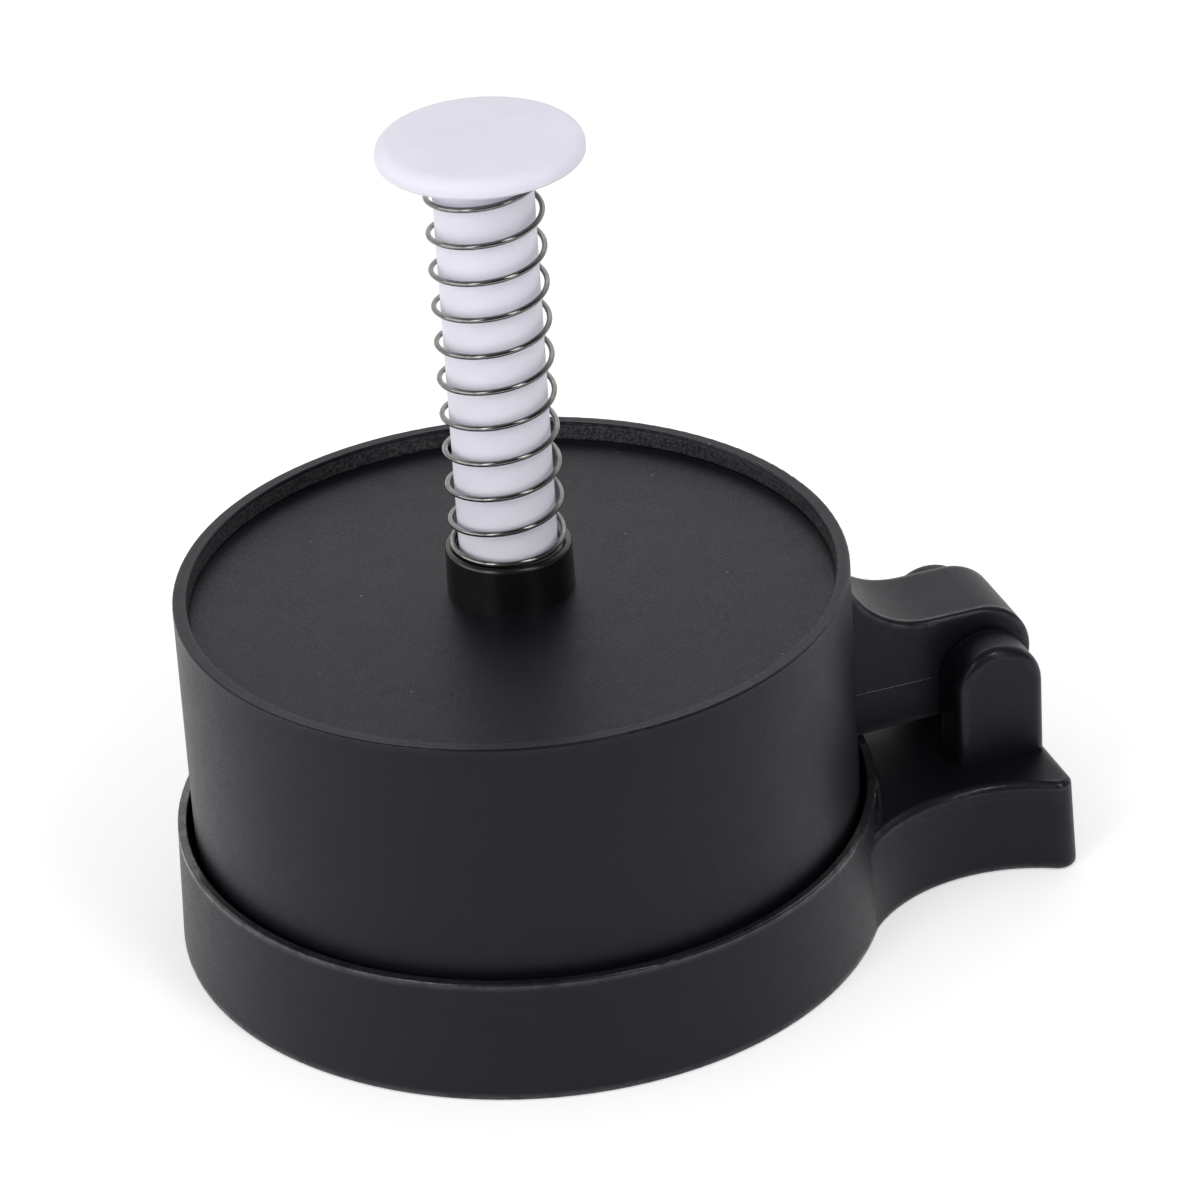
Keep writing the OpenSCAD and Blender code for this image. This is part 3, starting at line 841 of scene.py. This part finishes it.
def coil_mesh(sizes):
    """The spring's round wire, with a flat closed turn at each end"""
    low = BUSH_TOP + sizes.wire_radius + sizes.seat_gap
    high = SPRING_TOP - sizes.wire_radius - sizes.seat_gap
    open_turns = (high - low) / sizes.pitch - sizes.easing_turns
    if open_turns < 1:
        raise RuntimeError("the spring's pitch is too large for its seats")
    mesh = bmesh.new()
    made = bmesh.ops.create_circle(mesh, cap_ends=True, radius=sizes.wire_radius, segments=sizes.wire_sides)
    profile = made["verts"] + mesh.edges[:] + mesh.faces[:]
    place = (
        Matrix.Rotation(sizes.start_angle, 4, "Z")
        @ Matrix.Translation((sizes.coil_radius, 0, low))
        @ Matrix.Rotation(math.radians(90), 4, "X")
    )
    bmesh.ops.transform(mesh, matrix=place, verts=made["verts"])
    bends = 12
    easing = [(step + 0.5) / bends for step in range(bends)]
    piece = sizes.easing_turns / bends
    steps = round(sizes.lower_flat_turns * sizes.steps_per_turn)
    profile = spun(mesh, profile, sizes.lower_flat_turns, 0, steps)
    for share in easing:
        profile = spun(mesh, profile, piece, sizes.pitch * share * piece, 1)
    steps = round(open_turns * sizes.steps_per_turn)
    profile = spun(mesh, profile, open_turns, sizes.pitch * open_turns, steps)
    for share in reversed(easing):
        profile = spun(mesh, profile, piece, sizes.pitch * share * piece, 1)
    steps = round(sizes.upper_flat_turns * sizes.steps_per_turn)
    spun(mesh, profile, sizes.upper_flat_turns, 0, steps)
    weld = sizes.wire_radius / 100
    bmesh.ops.remove_doubles(mesh, verts=mesh.verts, dist=weld)
    bmesh.ops.recalc_face_normals(mesh, faces=mesh.faces)
    if any(not edge.is_manifold for edge in mesh.edges):
        raise RuntimeError("the spring's wire isn't closed")
    ends = [face for face in mesh.faces if len(face.verts) == sizes.wire_sides]
    end_round = sizes.wire_radius * 0.3
    bmesh.ops.bevel(
        mesh,
        geom=[edge for face in ends for edge in face.edges],
        offset=end_round,
        affect="EDGES",
        segments=2,
        profile=0.5,
        material=-1,
    )
    for face in mesh.faces:
        face.smooth = len(face.verts) == 4
    data = bpy.data.meshes.new("return_spring_wire")
    mesh.to_mesh(data)
    mesh.free()
    return data


def parting_line_mesh(sizes):
    """A low ridge with rounded shoulders along each side of the hinge arm"""
    mesh = bmesh.new()
    length = sizes.end - sizes.start
    root = sizes.proud * 2
    shoulder = sizes.proud * 0.7
    for side in (-1, 1):
        middle = (sizes.start + length / 2, side * (sizes.side + sizes.proud - root / 2), sizes.level)
        matrix = Matrix.Translation(middle) @ Matrix.Diagonal((length, root, sizes.width, 1))
        made = bmesh.ops.create_cube(mesh, size=1, matrix=matrix)["verts"]
        outer = [vert for vert in made if abs(vert.co.y) > sizes.side]
        ridge = {edge for vert in outer for edge in vert.link_edges if edge.other_vert(vert) in outer}
        bmesh.ops.bevel(
            mesh,
            geom=list(ridge),
            offset=shoulder,
            affect="EDGES",
            segments=3,
            profile=0.5,
            material=-1,
        )
    bmesh.ops.recalc_face_normals(mesh, faces=mesh.faces)
    data = bpy.data.meshes.new("arm_parting_lines")
    mesh.to_mesh(data)
    mesh.free()
    return data


def softbox(name, azimuth, elevation, size, level):
    """Adds an area lamp that gives a facing surface the stated level of light"""
    lamp = bpy.data.lights.new(name, "AREA")
    lamp.shape = "RECTANGLE"
    lamp.size, lamp.size_y = size
    lamp.energy = level * math.pi**2 * LAMP_DISTANCE**2
    across = math.cos(elevation)
    way = Vector((math.sin(azimuth) * across, -math.cos(azimuth) * across, math.sin(elevation)))
    made = link_object(name, lamp)
    made.location = LAMP_AIM + way * LAMP_DISTANCE
    made.rotation_euler = (-way).to_track_quat("-Z", "Y").to_euler()


class BURGER_PRESS_OT_stage(bpy.types.Operator):
    """Sets up the camera, the pale floor and the soft studio light"""

    bl_idname = "burger_press.stage"
    bl_label = "Set Up Studio"

    def execute(self, context):
        scene = context.scene
        studio = scene.burger_press.studio
        scene.view_settings.view_transform = "Standard"
        lens = bpy.data.cameras.new("photo_camera")
        lens.lens = studio.lens
        lens.sensor_width = 36
        camera = link_object("photo_camera", lens)
        camera.matrix_world = (
            Matrix.Translation(studio.camera_place)
            @ Matrix.Rotation(studio.azimuth, 4, "Z")
            @ Matrix.Rotation(math.radians(90) - studio.elevation, 4, "X")
            @ Matrix.Rotation(studio.roll, 4, "Z")
        )
        scene.camera = camera
        ground = bmesh.new()
        bmesh.ops.create_grid(ground, x_segments=4, y_segments=4, size=studio.floor_size / 2)
        bmesh.ops.translate(ground, verts=ground.verts, vec=(0, 0, -FLOOR_DROP))
        data = bpy.data.meshes.new("studio_floor")
        ground.to_mesh(data)
        ground.free()
        data.materials.append(floor_finish(studio.floor_glow))
        link_object("studio_floor", data)
        scene.world = studio_world(studio)
        for name, turn, height, size, level in (
            ("left_softbox", -72, 8, (1.0, 0.36), studio.left),
            ("left_strip", -37, 27, (0.3, 0.85), studio.left_strip),
            ("right_strip", 42, 27, (0.3, 0.85), studio.right_strip),
            ("upper_lamp", 38, 54, (0.24, 0.24), studio.upper),
            ("back_panel", 180, 38, (1.4, 0.6), studio.back),
        ):
            softbox(name, studio.azimuth + math.radians(turn), math.radians(height), size, level)
        return {"FINISHED"}


class BURGER_PRESS_OT_black_mouldings(bpy.types.Operator):
    """Gives the tray and the drum their satin black finish"""

    bl_idname = "burger_press.black_mouldings"
    bl_label = "Dress Tray and Drum"

    def execute(self, context):
        colours = context.scene.burger_press.finish
        dress("base_tray", black_moulding_finish("tray_moulding", colours))
        dress("press_drum", black_moulding_finish("drum_moulding", colours, drum=True))
        return {"FINISHED"}


class BURGER_PRESS_OT_parting_lines(bpy.types.Operator):
    """Adds the fine mould lines on both sides of the hinge arm"""

    bl_idname = "burger_press.parting_lines"
    bl_label = "Add Parting Lines"

    def execute(self, context):
        lines = link_object("arm_parting_lines", parting_line_mesh(context.scene.burger_press.parting_line))
        lines.data.materials.append(bpy.data.materials["drum_moulding"])
        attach(lines, "drum")
        return {"FINISHED"}


class BURGER_PRESS_OT_guide_bush(bpy.types.Operator):
    """Gives the guide bush its polished black finish"""

    bl_idname = "burger_press.guide_bush"
    bl_label = "Dress Guide Bush"

    def execute(self, context):
        dress("guide_bush", polished_black_finish(context.scene.burger_press.finish))
        return {"FINISHED"}


class BURGER_PRESS_OT_return_spring(bpy.types.Operator):
    """Winds the return spring from round wire, between the bush and the knob"""

    bl_idname = "burger_press.return_spring"
    bl_label = "Wind Return Spring"

    def execute(self, context):
        settings = context.scene.burger_press
        spring = link_object("return_spring_wire", coil_mesh(settings.spring))
        drawn = {"pitch": settings.spring.pitch, "line_scale": 9000.0, "glossy": 0.06, "satin": 0.13}
        spring.data.materials.append(drawn_metal_finish("spring_wire", settings.finish.wire, **drawn))
        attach(spring, "drum")
        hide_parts("return_spring")
        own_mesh(spring)
        return {"FINISHED"}


class BURGER_PRESS_OT_plunger(bpy.types.Operator):
    """Gives the rod, the knob and the press disc their satin white finish"""

    bl_idname = "burger_press.plunger"
    bl_label = "Dress Plunger"

    def execute(self, context):
        white = white_moulding_finish(context.scene.burger_press.finish)
        for node in ("plunger_rod", "palm_knob", "press_disc"):
            dress(node, white)
        return {"FINISHED"}


class BURGER_PRESS_OT_steel_fittings(bpy.types.Operator):
    """Gives the hinge pin, the washer and the screw their turned steel finish"""

    bl_idname = "burger_press.steel_fittings"
    bl_label = "Dress Steel Fittings"

    def execute(self, context):
        colour = context.scene.burger_press.finish.steel
        turned = {"pitch": 0.0, "line_scale": 7000.0, "glossy": 0.2, "satin": 0.38}
        upright = drawn_metal_finish("turned_steel", colour, **turned)
        for node in ("disc_washer", "disc_screw"):
            dress(node, upright)
        along_pin = (PIN_MIDDLE, (math.radians(90), 0, 0))
        dress("hinge_pin", drawn_metal_finish("pin_steel", colour, **turned, mapping=along_pin))
        return {"FINISHED"}


class VIEW3D_PT_burger_press(bpy.types.Panel):
    """Lists the burger press's settings and the buttons of its steps"""

    bl_label = "Burger Press"
    bl_space_type = "VIEW_3D"
    bl_region_type = "UI"
    bl_category = "Burger Press"

    def draw(self, context):
        settings = context.scene.burger_press
        for group in (settings.studio, settings.spring, settings.parting_line, settings.finish):
            box = self.layout.box()
            for name in group.__annotations__:
                box.prop(group, name)
        for operator in OPERATORS:
            self.layout.operator(operator.bl_idname)


OPERATORS = (
    BURGER_PRESS_OT_stage,
    BURGER_PRESS_OT_black_mouldings,
    BURGER_PRESS_OT_parting_lines,
    BURGER_PRESS_OT_guide_bush,
    BURGER_PRESS_OT_return_spring,
    BURGER_PRESS_OT_plunger,
    BURGER_PRESS_OT_steel_fittings,
)
GROUP_TYPES = (SpringSizes, PartingLineSizes, FinishColours, StudioSettings, PressSettings)
CLASSES = (*GROUP_TYPES, *OPERATORS, VIEW3D_PT_burger_press)


def register():
    """Registers the classes and adds the settings to the scene"""
    for item in CLASSES:
        bpy.utils.register_class(item)
    bpy.types.Scene.burger_press = PointerProperty(type=PressSettings)


def unregister():
    """Takes the settings and the classes away again"""
    del bpy.types.Scene.burger_press
    for item in reversed(CLASSES):
        bpy.utils.unregister_class(item)


def main():
    """Builds the studio and dresses every piece"""
    register()
    bpy.ops.burger_press.stage()
    bpy.ops.burger_press.black_mouldings()
    bpy.ops.burger_press.parting_lines()
    bpy.ops.burger_press.guide_bush()
    bpy.ops.burger_press.return_spring()
    bpy.ops.burger_press.plunger()
    bpy.ops.burger_press.steel_fittings()


if __name__ == "__main__":
    main()
